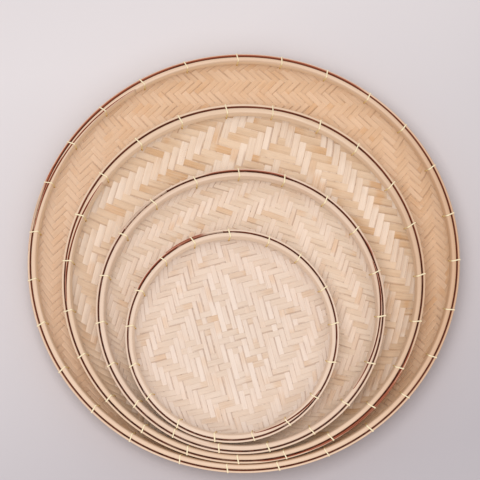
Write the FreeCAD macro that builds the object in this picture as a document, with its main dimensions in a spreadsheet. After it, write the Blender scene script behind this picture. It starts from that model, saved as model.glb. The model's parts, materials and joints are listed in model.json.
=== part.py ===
# A nested set of four round, shallow, woven bamboo trays.
#
# Each tray is a woven mat pressed into a dish, whose edge is held between an inner and an outer
# bamboo hoop. Short ties of split cane go round both hoops and through the mat. Both hoops are
# bent strips whose two ends are cut to long tapers and lie one over the other (a scarf).
#
# Frame: millimetres, +Z up. The origin is under the middle of the largest tray, on the surface it
# stands on. Each smaller tray stands on the floor of the next larger one, pushed towards its rim.

import FreeCAD, Part
import os
import Sketcher

TRAYS = ("12in", "10in", "8in", "6in")

SHARED_SIZES = {
    "rim_flare": 20.0,           # lean of the rim from upright, degrees
    "inner_strip": 3.0,          # inner hoop, across its top
    "inner_strip_depth": 4.8,    # inner hoop, top edge to bottom edge
    "outer_strip": 1.2,          # outer hoop, across its top
    "outer_strip_depth": 5.8,    # outer hoop, top edge to bottom edge
    "strip_rounding": 0.5,       # radius worn on every edge of the hoops
    "mat_thickness": 1.1,        # two crossing layers of splints
    "mat_edge_drop": 1.2,        # the trimmed mat edge, below the tops of the hoops
    "seat_gap": 0.05,            # between the mat and each hoop
    "scarf_gap": 0.4,            # between the two tapered ends of a hoop
    "scarf_tip": 0.55,           # thickness of each tapered end at its tip
    "scarf_runout": 20.0,        # angle that the taper cut runs on past both faces, degrees
    "tie_thickness": 0.4,
    "tie_width": 1.1,
    "tie_gap": 0.03,             # between a tie and the hoops it holds
    "nest_gap": 0.2,             # between a tray and the floor it stands on
    "rim_gap": 0.2,              # between the ties of two rims that lean together
}

TRAY_SIZES = {
    # Rim diameter, height, radius from floor to wall, ties, angle of the first tie.
    "rim_diameter": (304.8, 254.0, 203.2, 152.4),
    "tray_height": (26.0, 25.0, 24.0, 22.0),
    "bend_radius": (26.0, 25.0, 24.0, 21.0),
    "tie_count": (27, 23, 19, 17),
    "tie_start": (359.0, 2.0, 356.0, 6.0),
    # Middle and length of the taper on each hoop, degrees round the rim.
    "inner_scarf_middle": (147.0, 166.0, 352.0, 305.0),
    "inner_scarf_span": (50.0, 42.0, 56.0, 44.0),
    "outer_scarf_middle": (166.0, 310.0, 137.0, 112.0),
    "outer_scarf_span": (24.0, 40.0, 30.0, 34.0),
    # Direction in which the tray is pushed inside the larger one, degrees from +X.
    "nest_bearing": (270.0, 270.0, 264.0, 251.0),
}

EMPTY_SHAPE_VOLUME = 1.0  # mm3, less than any piece of a tray


def size(name, tray=None):
    """Spreadsheet reference of a shared size, or of one tray's size."""
    return f"Sizes.{name}_{tray}" if tray else f"Sizes.{name}"


def make_sheet(doc):
    """Write every driving dimension into the sheet, one aliased number to a row."""
    sheet = doc.addObject("Spreadsheet::Sheet", "Sizes")
    rows = dict(SHARED_SIZES)
    for name, values in TRAY_SIZES.items():
        for tray, value in zip(TRAYS, values):
            rows[f"{name}_{tray}"] = value
    for row, (alias, value) in enumerate(rows.items(), start=1):
        sheet.set(f"A{row}", alias)
        sheet.set(f"B{row}", str(value))
        sheet.setAlias(f"B{row}", alias)
    doc.recompute()
    return sheet


# Expressions that several pieces share.

MAT_ACROSS = f"{size('mat_thickness')} / cos({size('rim_flare')})"
RIM_WIDTH = f"({size('outer_strip')} + {size('inner_strip')} + 2 * {size('seat_gap')} + {MAT_ACROSS})"
OUTER_HOOP_INSIDE = size("outer_strip")
MAT_OUTSIDE = f"({size('outer_strip')} + {size('seat_gap')})"
MAT_INSIDE = f"({MAT_OUTSIDE} + {MAT_ACROSS})"
INNER_HOOP_OUTSIDE = f"({MAT_INSIDE} + {size('seat_gap')})"


def rim_face(tray, inset, drop):
    """Radius of a flared face, `inset` in from the outside of the rim and `drop` below its top."""
    return f"{size('rim_diameter', tray)} / 2 - {inset} - ({drop}) * tan({size('rim_flare')})"


def below_rim(tray, drop):
    """Height of a point that is `drop` below the top of the rim."""
    return f"{size('tray_height', tray)} - ({drop})"


def strip_corners(tray, outside, inside, top, bottom):
    """Corners of a flared strip between two insets and two depths below the rim."""
    return [
        (rim_face(tray, inside, bottom), below_rim(tray, bottom)),
        (rim_face(tray, outside, bottom), below_rim(tray, bottom)),
        (rim_face(tray, outside, top), below_rim(tray, top)),
        (rim_face(tray, inside, top), below_rim(tray, top)),
    ]


def add_body(doc, label):
    """Empty body, named and labelled for its file."""
    body = doc.addObject("PartDesign::Body", label)
    body.Label = label
    body.Placement = FreeCAD.Placement()
    return body


def upright_sketch(body, name):
    """Sketch on the body's own XZ plane, whose vertical axis is the tray's axis."""
    plane = next(item for item in body.Origin.OriginFeatures if item.Role == "XZ_Plane")
    sketch = body.newObject("Sketcher::SketchObject", name)
    sketch.AttachmentSupport = [(plane, "")]
    sketch.MapMode = "FlatFace"
    return sketch


def pin_coordinate(sketch, sheet, kind, edge, end, expression):
    """Hold one coordinate of an edge's end at the value of an expression."""
    axis = -2 if kind == "DistanceX" else -1
    if expression == "0":
        sketch.addConstraint(Sketcher.Constraint("PointOnObject", edge, end, axis))
        return
    value = float(sheet.evalExpression(expression))
    index = sketch.addConstraint(Sketcher.Constraint(kind, -1, 1, edge, end, value))
    sketch.setExpression(f"Constraints[{index}]", expression)


def draw_outline(sketch, sheet, corners, bends=None):
    """Closed outline through corners given as expressions.

    `bends` makes the edge that leaves a corner an arc: corner number -> (centre x, centre z,
    radius, whether it turns clockwise).
    """
    bends = bends or {}
    points = [
        FreeCAD.Vector(float(sheet.evalExpression(x)), float(sheet.evalExpression(z)), 0)
        for x, z in corners
    ]
    edges = []
    for number, start in enumerate(points):
        finish = points[(number + 1) % len(points)]
        if number in bends:
            centre_x, centre_z, radius, clockwise = bends[number]
            centre = FreeCAD.Vector(
                float(sheet.evalExpression(centre_x)), float(sheet.evalExpression(centre_z)), 0)
            circle = Part.Circle(centre, FreeCAD.Vector(0, 0, 1), float(sheet.evalExpression(radius)))
            first, last = (finish, start) if clockwise else (start, finish)
            arc = Part.ArcOfCircle(circle, circle.parameter(first), circle.parameter(last))
            edge = sketch.addGeometry(arc)
            edges.append((edge, 2, 1) if clockwise else (edge, 1, 2))
        else:
            edges.append((sketch.addGeometry(Part.LineSegment(start, finish)), 1, 2))
    for number, (edge, start_end, finish_end) in enumerate(edges):
        next_edge, next_start, _ = edges[(number + 1) % len(edges)]
        sketch.addConstraint(Sketcher.Constraint("Coincident", edge, finish_end, next_edge, next_start))
    for number, (edge, start_end, _) in enumerate(edges):
        pin_coordinate(sketch, sheet, "DistanceX", edge, start_end, corners[number][0])
        pin_coordinate(sketch, sheet, "DistanceY", edge, start_end, corners[number][1])
        if number in bends:
            radius = bends[number][2]
            value = float(sheet.evalExpression(radius))
            index = sketch.addConstraint(Sketcher.Constraint("Radius", edge, value))
            sketch.setExpression(f"Constraints[{index}]", radius)


def revolve(body, sketch, name):
    """Full turn of a sketch about its own vertical axis."""
    turned = body.newObject("PartDesign::Revolution", name)
    turned.Profile = sketch
    turned.ReferenceAxis = (sketch, ["V_Axis"])
    turned.Angle = 360
    return turned


def make_mat(doc, sheet, tray):
    """The dish-shaped mat: flat floor, rounded rise and a flared wall between the hoops."""
    body = add_body(doc, f"woven_mat_{tray}")
    sketch = upright_sketch(body, f"mat_section_{tray}")
    outer_bend = f"({size('bend_radius', tray)} + {size('mat_thickness')})"
    inner_bend = size("bend_radius", tray)
    rise = f"{outer_bend} * (1 - sin({size('rim_flare')}))"
    bend_foot = rim_face(tray, MAT_OUTSIDE, below_rim(tray, rise))
    floor_radius = f"{bend_foot} - {outer_bend} * cos({size('rim_flare')})"
    inner_foot = f"{floor_radius} + {inner_bend} * cos({size('rim_flare')})"
    edge_drop = size("mat_edge_drop")
    corners = [
        ("0", "0"),
        (floor_radius, "0"),
        (bend_foot, rise),
        (rim_face(tray, MAT_OUTSIDE, edge_drop), below_rim(tray, edge_drop)),
        (rim_face(tray, MAT_INSIDE, edge_drop), below_rim(tray, edge_drop)),
        (inner_foot, f"{outer_bend} - {inner_bend} * sin({size('rim_flare')})"),
        (floor_radius, size("mat_thickness")),
        ("0", size("mat_thickness")),
    ]
    bends = {
        1: (floor_radius, outer_bend, outer_bend, False),
        5: (floor_radius, outer_bend, inner_bend, True),
    }
    draw_outline(sketch, sheet, corners, bends)
    revolve(body, sketch, f"mat_turn_{tray}")
    return body


def cut_round(body, sheet, name, corners, axis_shift, middle, start, sweep):
    """Cut a flared outline through part of a turn about an axis beside the tray's own.

    The axis is `axis_shift` from the tray's, square to the direction `middle`. The cut reaches
    half of `sweep` to each side of the direction `start`. All the angles are in degrees.
    """
    sketch = upright_sketch(body, f"{name}_section")
    sketch.AttachmentOffset = FreeCAD.Placement(
        FreeCAD.Vector(0, 0, 0), FreeCAD.Rotation(FreeCAD.Vector(0, 1, 0), 90))
    sketch.setExpression("AttachmentOffset.Rotation.Angle", start)
    sketch.setExpression("AttachmentOffset.Base.x", f"0 - {axis_shift} * sin({middle})")
    sketch.setExpression("AttachmentOffset.Base.z", f"0 - {axis_shift} * cos({middle})")
    draw_outline(sketch, sheet, corners)
    groove = body.newObject("PartDesign::Groove", name)
    groove.Profile = sketch
    groove.ReferenceAxis = (sketch, ["V_Axis"])
    groove.Midplane = True
    groove.setExpression("Angle", sweep)


def cut_scarf(body, sheet, tray, hoop, outside, inside, depth):
    """Cut a ring once, on a long slant from its inner to its outer face, and blunt both tips.

    The slanting cut is a thin flared wall about an axis beside the tray's own, so that it enters
    at the inner face at one end of the taper and leaves at the outer face at the other.
    """
    middle = size(f"{hoop}_scarf_middle", tray)
    gap = size("scarf_gap")
    runout = size("scarf_runout")
    strip = f"({inside} - {outside})"
    span = size(f"{hoop}_scarf_span", tray)
    axis_shift = f"(({strip} / 2 + {gap}) / sin({span} / 2))"
    top = f"0 - 2 * {size('strip_rounding')}"
    bottom = f"{depth} + 2 * {size('strip_rounding')}"
    centre = f"({inside} + {outside}) / 2"
    slit = strip_corners(tray, f"({centre} - {gap} / 2)", f"({centre} + {gap} / 2)", top, bottom)
    cut_round(body, sheet, f"{hoop}_scarf_{tray}", slit, axis_shift, middle, middle,
              f"{span} + {runout}")
    to_tip = f"asin((({strip} - {gap}) / 2 - {size('scarf_tip')}) / {axis_shift}) / 1 deg"
    within = strip_corners(tray, f"({centre})", f"({centre} + {strip})", top, bottom)
    cut_round(body, sheet, f"{hoop}_inner_tip_{tray}", within, axis_shift, middle,
              f"{middle} - {to_tip} - {runout} / 2", runout)
    beyond = strip_corners(tray, f"({centre} - {strip})", f"({centre})", top, bottom)
    cut_round(body, sheet, f"{hoop}_outer_tip_{tray}", beyond, axis_shift, middle,
              f"{middle} + {to_tip} + {runout} / 2", runout)


def make_hoop(doc, sheet, tray, hoop, outside, inside):
    """One bent strip with rounded edges, its ends tapered and lapped."""
    body = add_body(doc, f"{hoop}_hoop_{tray}")
    depth = size(f"{hoop}_strip_depth")
    sketch = upright_sketch(body, f"{hoop}_strip_section_{tray}")
    draw_outline(sketch, sheet, strip_corners(tray, outside, inside, "0", depth))
    ring = revolve(body, sketch, f"{hoop}_ring_{tray}")
    doc.recompute()
    rounding = body.newObject("PartDesign::Fillet", f"{hoop}_rounding_{tray}")
    rounding.Base = (ring, ["Edge1"])
    rounding.UseAllEdges = True
    rounding.setExpression("Radius", size("strip_rounding"))
    doc.recompute()
    cut_scarf(body, sheet, tray, hoop, outside, inside, depth)
    return body


def make_ties(doc, sheet, tray):
    """All the ties of one tray: closed bands round both hoops, evenly spaced."""
    body = add_body(doc, f"hoop_ties_{tray}")
    body.AllowCompound = True
    gap = size("tie_gap")
    band = size("tie_thickness")
    reach = f"{size('outer_strip_depth')} + {gap}"
    bore = strip_corners(tray, f"(0 - {gap})", f"({RIM_WIDTH} + {gap})", f"0 - {gap}", reach)
    skin = strip_corners(
        tray, f"(0 - {gap} - {band})", f"({RIM_WIDTH} + {gap} + {band})",
        f"0 - {gap} - {band}", f"{reach} + {band}")
    sketch = upright_sketch(body, f"tie_section_{tray}")
    draw_outline(sketch, sheet, skin)
    draw_outline(sketch, sheet, bore)
    tie = body.newObject("PartDesign::Pad", f"tie_{tray}")
    tie.Profile = sketch
    tie.Midplane = True
    tie.setExpression("Length", size("tie_width"))
    doc.recompute()
    pattern = body.newObject("PartDesign::PolarPattern", f"ties_{tray}")
    pattern.Originals = [tie]
    pattern.Axis = (sketch, ["V_Axis"])
    pattern.Angle = 360
    pattern.setExpression("Occurrences", size("tie_count", tray))
    body.Tip = pattern
    body.setExpression("Placement.Rotation.Angle", size("tie_start", tray))
    return body


def place_in_larger(mat, tray, larger):
    """Stand a tray on the floor of the larger one, with the two rims almost touching."""
    host = f"woven_mat_{larger}"
    tops_apart = (
        f"{size('mat_thickness')} + {size('nest_gap')}"
        f" + {size('tray_height', tray)} - {size('tray_height', larger)}")
    shift = (
        f"({size('rim_diameter', larger)} / 2 - {size('rim_diameter', tray)} / 2 - {RIM_WIDTH}"
        f" + ({tops_apart}) * tan({size('rim_flare')})"
        f" - 2 * ({size('tie_thickness')} + {size('tie_gap')}) - {size('rim_gap')})")
    bearing = size("nest_bearing", tray)
    lift = f"({size('mat_thickness')} + {size('nest_gap')})"
    moves = {"x": f"{shift} * cos({bearing})", "y": f"{shift} * sin({bearing})", "z": lift}
    for axis, move in moves.items():
        mat.setExpression(f"Placement.Base.{axis}", f"{host}.Placement.Base.{axis} + {move} * 1 mm")


def place_with_mat(piece, tray):
    """Keep a hoop or the ties on the mat that they hold."""
    for axis in "xyz":
        piece.setExpression(f"Placement.Base.{axis}", f"woven_mat_{tray}.Placement.Base.{axis}")


def make_tray(doc, sheet, tray, larger):
    """The four pieces of one tray."""
    mat = make_mat(doc, sheet, tray)
    if larger:
        place_in_larger(mat, tray, larger)
    rest = [
        make_hoop(doc, sheet, tray, "inner", INNER_HOOP_OUTSIDE, RIM_WIDTH),
        make_hoop(doc, sheet, tray, "outer", "0", OUTER_HOOP_INSIDE),
        make_ties(doc, sheet, tray),
    ]
    for piece in rest:
        place_with_mat(piece, tray)
    return [mat, *rest]


def check_document(doc, pieces):
    """Stop if a feature failed or a piece has no sound solid."""
    for item in doc.Objects:
        if {"Invalid", "Error"} & set(item.State):
            raise RuntimeError(f"{item.Name} did not compute: {item.State}")
    for piece in pieces:
        shape = piece.Shape
        if shape.isNull() or not shape.isValid() or shape.Volume < EMPTY_SHAPE_VOLUME:
            raise RuntimeError(f"{piece.Label} has no valid solid")


def main():
    doc = FreeCAD.newDocument("nested_bamboo_trays")
    sheet = make_sheet(doc)
    pieces = []
    larger = None
    for tray in TRAYS:
        pieces += make_tray(doc, sheet, tray, larger)
        larger = tray
    doc.recompute()
    check_document(doc, pieces)
    os.makedirs("parts", exist_ok=True)
    for piece in pieces:
        piece.Shape.exportStep(f"parts/{piece.Label}.step")
        box = piece.Shape.optimalBoundingBox(False)
        print(f"{piece.Label}: {len(piece.Shape.Solids)} solids, {piece.Shape.Volume:.0f} mm3,"
              f" x {box.XMin:.1f}..{box.XMax:.1f}, y {box.YMin:.1f}..{box.YMax:.1f},"
              f" z {box.ZMin:.2f}..{box.ZMax:.2f}")


main()
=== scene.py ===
"""Looks of a nested set of four round, shallow, woven bamboo trays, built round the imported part."""

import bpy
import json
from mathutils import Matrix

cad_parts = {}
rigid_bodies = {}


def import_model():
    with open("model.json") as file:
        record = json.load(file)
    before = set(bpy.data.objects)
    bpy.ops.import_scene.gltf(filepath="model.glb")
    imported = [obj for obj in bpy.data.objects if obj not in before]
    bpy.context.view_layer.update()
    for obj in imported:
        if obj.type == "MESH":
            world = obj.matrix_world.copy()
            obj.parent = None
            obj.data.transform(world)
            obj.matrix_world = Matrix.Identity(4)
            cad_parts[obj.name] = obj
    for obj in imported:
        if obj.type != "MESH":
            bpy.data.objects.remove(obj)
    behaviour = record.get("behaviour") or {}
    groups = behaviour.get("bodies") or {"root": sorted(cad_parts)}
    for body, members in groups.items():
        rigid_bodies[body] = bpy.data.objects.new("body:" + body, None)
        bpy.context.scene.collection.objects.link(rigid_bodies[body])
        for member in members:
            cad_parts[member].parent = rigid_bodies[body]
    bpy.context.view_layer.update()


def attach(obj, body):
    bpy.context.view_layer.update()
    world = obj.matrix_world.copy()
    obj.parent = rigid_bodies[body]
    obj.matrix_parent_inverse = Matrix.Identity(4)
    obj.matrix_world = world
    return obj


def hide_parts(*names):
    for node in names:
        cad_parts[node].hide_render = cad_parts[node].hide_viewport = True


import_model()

import json
import logging
import math
from dataclasses import dataclass
from enum import Enum
from typing import Any, Callable

import bpy
import numpy as np
from mathutils import Vector

MM = 0.001
LOG = logging.getLogger("nested_trays")

Colour = tuple[float, float, float, float]


def srgb(red: float, green: float, blue: float) -> Colour:
    """Turns a colour given in 0 to 255 steps into the linear colour that shaders use.

    Args:
        red: Red step.
        green: Green step.
        blue: Blue step.

    Returns:
        Linear red, green and blue, and an alpha of 1.
    """
    def linear(step: float) -> float:
        """One channel, made linear."""
        share = step / 255
        return share / 12.92 if share <= 0.04045 else ((share + 0.055) / 1.055) ** 2.4
    return (linear(red), linear(green), linear(blue), 1.0)


def show(name: str, data: bpy.types.ID) -> bpy.types.Object:
    """Puts a mesh, light or camera in the scene as a new object at the origin.

    Args:
        name: Name of the object.
        data: What the object shows.

    Returns:
        The object.
    """
    made = bpy.data.objects.new(name, data)
    bpy.context.scene.collection.objects.link(made)
    return made


def keep_numbers(mesh: bpy.types.Mesh, **numbers: list[float]) -> None:
    """Stores numbers on the vertices of a mesh.

    Args:
        mesh: The mesh.
        **numbers: One number for each vertex, under the name that materials read.
    """
    for name, values in numbers.items():
        kept = mesh.attributes.new(name, "FLOAT", "POINT")
        kept.data.foreach_set("value", np.array(values, np.float32))


def join_rings(size: int, rings: int, closed: bool) -> list[tuple[int, int, int, int]]:
    """Quads between neighbouring rings of points.

    Args:
        size: Points in each ring.
        rings: How many rings follow one another.
        closed: Whether the last ring joins the first.

    Returns:
        Corners of each quad: a point, its neighbour on the ring, then both on the next ring.
    """
    quads = []
    for here in range(rings if closed else rings - 1):
        there = (here + 1) % rings
        for k in range(size):
            beside = (k + 1) % size
            quads.append((here * size + k, here * size + beside,
                          there * size + beside, there * size + k))
    return quads


# ---- Node trees ----


def operation(name: str, swapped: bool = False) -> Callable[..., "Num"]:
    """Makes a method of Num that adds one Math node.

    Args:
        name: The node's operation.
        swapped: Whether self comes last, as in a reflected operator.

    Returns:
        The method.
    """
    def method(self: "Num", *others: Any) -> "Num":
        """Joins self and the others in the node."""
        return self.math(name, *((*others, self) if swapped else (self, *others)))
    return method


class Num:
    """A number socket of a node tree. Arithmetic on it adds Math nodes."""

    def __init__(self, tree: "Tree", socket: bpy.types.NodeSocket) -> None:
        """Wraps one output socket of a tree."""
        self.tree = tree
        self.socket = socket

    def math(self, operation: str, *values: Any) -> "Num":
        """Adds one Math node.

        Args:
            operation: The node's operation.
            *values: Its inputs in order, numbers or sockets.

        Returns:
            The node's result.
        """
        node = self.tree.add("ShaderNodeMath", {"operation": operation}, dict(enumerate(values)))
        return Num(self.tree, node.outputs[0])

    __add__ = __radd__ = operation("ADD")
    __sub__, __rsub__ = operation("SUBTRACT"), operation("SUBTRACT", swapped=True)
    __mul__ = __rmul__ = operation("MULTIPLY")
    __truediv__, __rtruediv__ = operation("DIVIDE"), operation("DIVIDE", swapped=True)
    __abs__ = operation("ABSOLUTE")
    __lt__, __gt__ = operation("LESS_THAN"), operation("GREATER_THAN")
    low, high = operation("MINIMUM"), operation("MAXIMUM")
    sin, cos = operation("SINE"), operation("COSINE")
    root, ceil = operation("SQRT"), operation("CEIL")

    def __neg__(self) -> "Num":
        """Minus self."""
        return self * -1.0

    def within(self, least: Any, most: Any) -> "Num":
        """self, kept between least and most."""
        return self.high(least).low(most)

    def sin(self) -> "Num":
        """Sine of self in radians."""
        return self.math("SINE", self)

    def cos(self) -> "Num":
        """Cosine of self in radians."""
        return self.math("COSINE", self)

    def root(self) -> "Num":
        """Square root of self."""
        return self.math("SQRT", self)

    def ceil(self) -> "Num":
        """self, rounded up."""
        return self.math("CEIL", self)

    def wrap(self, least: float, most: float) -> "Num":
        """self, brought into a repeating range by whole turns."""
        return self.math("WRAP", self, most, least)

    def step(self, start: float, end: float) -> "Num":
        """A smooth step of self.

        Args:
            start: Where the step begins, at 0.
            end: Where the step ends, at 1.

        Returns:
            0 before start, 1 past end, and a smooth rise between them.
        """
        node = self.tree.add(
            "ShaderNodeMapRange", {"interpolation_type": "SMOOTHSTEP"},
            {"Value": self, "From Min": start, "From Max": end, "To Min": 0.0, "To Max": 1.0})
        return Num(self.tree, node.outputs[0])


class Tree:
    """A node tree that is filled in by script."""

    def __init__(self, tree: bpy.types.NodeTree) -> None:
        """Wraps an empty or cleared node tree."""
        self.tree = tree

    @staticmethod
    def find(sockets: Any, key: int | str) -> bpy.types.NodeSocket:
        """Finds a socket.

        Args:
            sockets: A node's inputs or outputs.
            key: Place, identifier or name of the socket.

        Returns:
            The socket.
        """
        if isinstance(key, int):
            return sockets[key]
        for socket in sockets:
            if socket.identifier == key:
                return socket
        return sockets[key]

    def add(self, kind: str, settings: dict[str, Any] | None = None,
            values: dict[int | str, Any] | None = None) -> bpy.types.Node:
        """Adds a node.

        Args:
            kind: The node's type.
            settings: Its settings, or a ramp's colour stops, which are set first.
            values: Values or links for its inputs, by place, identifier or name.

        Returns:
            The node.
        """
        node = self.tree.nodes.new(kind)
        for name, value in (settings or {}).items():
            if name == "stops":
                self.set_stops(node.color_ramp, value)
            else:
                setattr(node, name, value)
        for key, value in (values or {}).items():
            socket = self.find(node.inputs, key)
            if isinstance(value, Num):
                value = value.socket
            if isinstance(value, bpy.types.NodeSocket):
                self.tree.links.new(value, socket)
            else:
                socket.default_value = value
        return node

    @staticmethod
    def set_stops(ramp: bpy.types.ColorRamp, stops: list[tuple[float, Colour]]) -> None:
        """Sets a colour ramp.

        Args:
            ramp: The ramp.
            stops: Position and colour of each stop.
        """
        while len(ramp.elements) < len(stops):
            ramp.elements.new(0.5)
        for element, (position, colour) in zip(ramp.elements, stops):
            element.position = position
            element.color = colour

    def num(self, node: bpy.types.Node, key: int | str = 0) -> Num:
        """One output of a node, as a number."""
        return Num(self, self.find(node.outputs, key))

    def vector(self, x: Any, y: Any, z: Any) -> bpy.types.NodeSocket:
        """Three numbers, joined into a vector."""
        return self.add("ShaderNodeCombineXYZ", values={0: x, 1: y, 2: z}).outputs[0]

    def split(self, vector: bpy.types.NodeSocket) -> tuple[Num, Num, Num]:
        """The three numbers of a vector."""
        node = self.add("ShaderNodeSeparateXYZ", values={0: vector})
        return self.num(node, 0), self.num(node, 1), self.num(node, 2)


class GeometryTree(Tree):
    """A Geometry Nodes tree with named inputs."""

    def __init__(self, name: str, inputs: list[tuple[str, str]]) -> None:
        """Makes the tree and its sockets.

        Args:
            name: The tree's name.
            inputs: Name and socket type of each input, after the geometry.
        """
        super().__init__(bpy.data.node_groups.new(name, "GeometryNodeTree"))
        face = self.tree.interface
        face.new_socket(name="Geometry", in_out="INPUT", socket_type="NodeSocketGeometry")
        self.ids: dict[str, str] = {}
        for label, kind in inputs:
            made = face.new_socket(name=label, in_out="INPUT", socket_type=kind)
            self.ids[label] = made.identifier
        face.new_socket(name="Geometry", in_out="OUTPUT", socket_type="NodeSocketGeometry")
        self.entry = self.tree.nodes.new("NodeGroupInput")

    def given(self, label: str) -> Num:
        """A named input, as a number."""
        return self.num(self.entry, label)

    def keep(self, geometry: bpy.types.NodeSocket, name: str,
             value: Any) -> bpy.types.NodeSocket:
        """Stores a number under a name on a geometry's points and returns the geometry."""
        return self.add("GeometryNodeStoreNamedAttribute",
                        {"data_type": "FLOAT", "domain": "POINT"},
                        {"Geometry": geometry, "Name": name, "Value": value}).outputs[0]

    def kept(self, name: str) -> Num:
        """A number that was stored under a name."""
        node = self.add("GeometryNodeInputNamedAttribute", {"data_type": "FLOAT"}, {"Name": name})
        return self.num(node, "Attribute")

    def random(self, least: Any, most: Any, thing: Any, seed: Any) -> Num:
        """A fixed random number for each thing.

        Args:
            least: The least that it can be.
            most: The most that it can be.
            thing: Whole number that tells the things apart.
            seed: Seed of the series.

        Returns:
            The number.
        """
        node = self.add("FunctionNodeRandomValue", {"data_type": "FLOAT"},
                        {"Min_001": least, "Max_001": most, "ID": thing, "Seed": seed})
        return self.num(node, "Value_001")

    def end(self, geometry: bpy.types.NodeSocket, material: Num) -> None:
        """Ends the tree: instances made real, then the material set.

        Args:
            geometry: What the tree has made.
            material: The material input.
        """
        real = self.add("GeometryNodeRealizeInstances", values={0: geometry}).outputs[0]
        dressed = self.add("GeometryNodeSetMaterial", values={
            "Geometry": real, "Material": material})
        leave = self.tree.nodes.new("NodeGroupOutput")
        self.tree.links.new(dressed.outputs[0], leave.inputs[0])


def grow(name: str, tree: GeometryTree, values: dict[str, Any],
         start: bpy.types.Mesh | None = None) -> bpy.types.Object:
    """Runs a Geometry Nodes tree and keeps the result as a plain mesh.

    Args:
        name: Name of the new piece.
        tree: The tree to run.
        values: Value of each named input.
        start: Mesh that goes into the tree, if it uses one.

    Returns:
        The new object, with no modifier left on it.
    """
    piece = show(name, start or bpy.data.meshes.new(name))
    modifier = piece.modifiers.new("grow", "NODES")
    modifier.node_group = tree.tree
    for label, value in values.items():
        modifier[tree.ids[label]] = value
    graph = bpy.context.evaluated_depsgraph_get()
    mesh = bpy.data.meshes.new_from_object(
        piece.evaluated_get(graph), preserve_all_data_layers=True, depsgraph=graph)
    piece.modifiers.clear()
    piece.data = mesh
    mesh.name = name
    return piece


# ---- Finishes ----


class Slot(Enum):
    """Material slots of the record."""

    MAT = "woven_bamboo"
    HOOP = "hoop_bamboo"
    TIE = "split_cane"


class ShaderTree(Tree):
    """A material's node tree."""

    def __init__(self, name: str) -> None:
        """Makes an empty material and its tree.

        Args:
            name: Name of the material.
        """
        self.material = bpy.data.materials.new(name)
        self.material.use_nodes = True
        super().__init__(self.material.node_tree)
        self.tree.nodes.clear()

    def attribute(self, name: str) -> Num:
        """A number that the mesh carries under a name."""
        return self.num(self.add("ShaderNodeAttribute", {"attribute_name": name}), "Fac")

    def noise(self, vector: bpy.types.NodeSocket, scale: float = 1.0, detail: float = 2.0,
              rough: float = 0.5) -> Num:
        """Soft noise from 0 to 1 at a place."""
        node = self.add("ShaderNodeTexNoise", {"noise_dimensions": "3D"},
                        {"Vector": vector, "Scale": scale, "Detail": detail, "Roughness": rough})
        return self.num(node, "Fac")

    def chance(self, value: Any) -> Num:
        """A fixed random number from 0 to 1 for each value."""
        node = self.add("ShaderNodeTexWhiteNoise", {"noise_dimensions": "1D"}, {"W": value})
        return self.num(node, "Value")

    def mix(self, share: Any, first: Any, second: Any) -> bpy.types.NodeSocket:
        """Mixes two colours.

        Args:
            share: How much of the second, from 0 to 1.
            first: First colour.
            second: Second colour.

        Returns:
            The mixed colour.
        """
        node = self.add("ShaderNodeMix", {"data_type": "RGBA"},
                        {"Factor_Float": share, "A_Color": first, "B_Color": second})
        return self.find(node.outputs, "Result_Color")

    def ramp(self, value: Num, stops: list[tuple[float, Colour]]) -> bpy.types.NodeSocket:
        """A colour read from a ramp."""
        return self.add("ShaderNodeValToRGB", {"stops": stops}, {0: value}).outputs[0]

    def finish(self, colour: Any, roughness: Any, height: Num, bump: float, depth: float,
               fixed: dict[str, Any] | None = None) -> bpy.types.Material:
        """Joins everything in one shader.

        Args:
            colour: Base colour.
            roughness: Roughness.
            height: Height of the relief, from 0 to 1.
            bump: Strength of the relief.
            depth: Depth of the relief in metres.
            fixed: Values set on the shader's other sockets.

        Returns:
            The finished material.
        """
        relief = self.add("ShaderNodeBump", values={
            "Strength": bump, "Distance": depth, "Height": height}).outputs[0]
        shader = self.add("ShaderNodeBsdfPrincipled", values={
            "Base Color": colour, "Roughness": roughness, "Normal": relief, **(fixed or {})})
        self.add("ShaderNodeOutputMaterial", values={"Surface": shader.outputs[0]})
        return self.material


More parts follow.
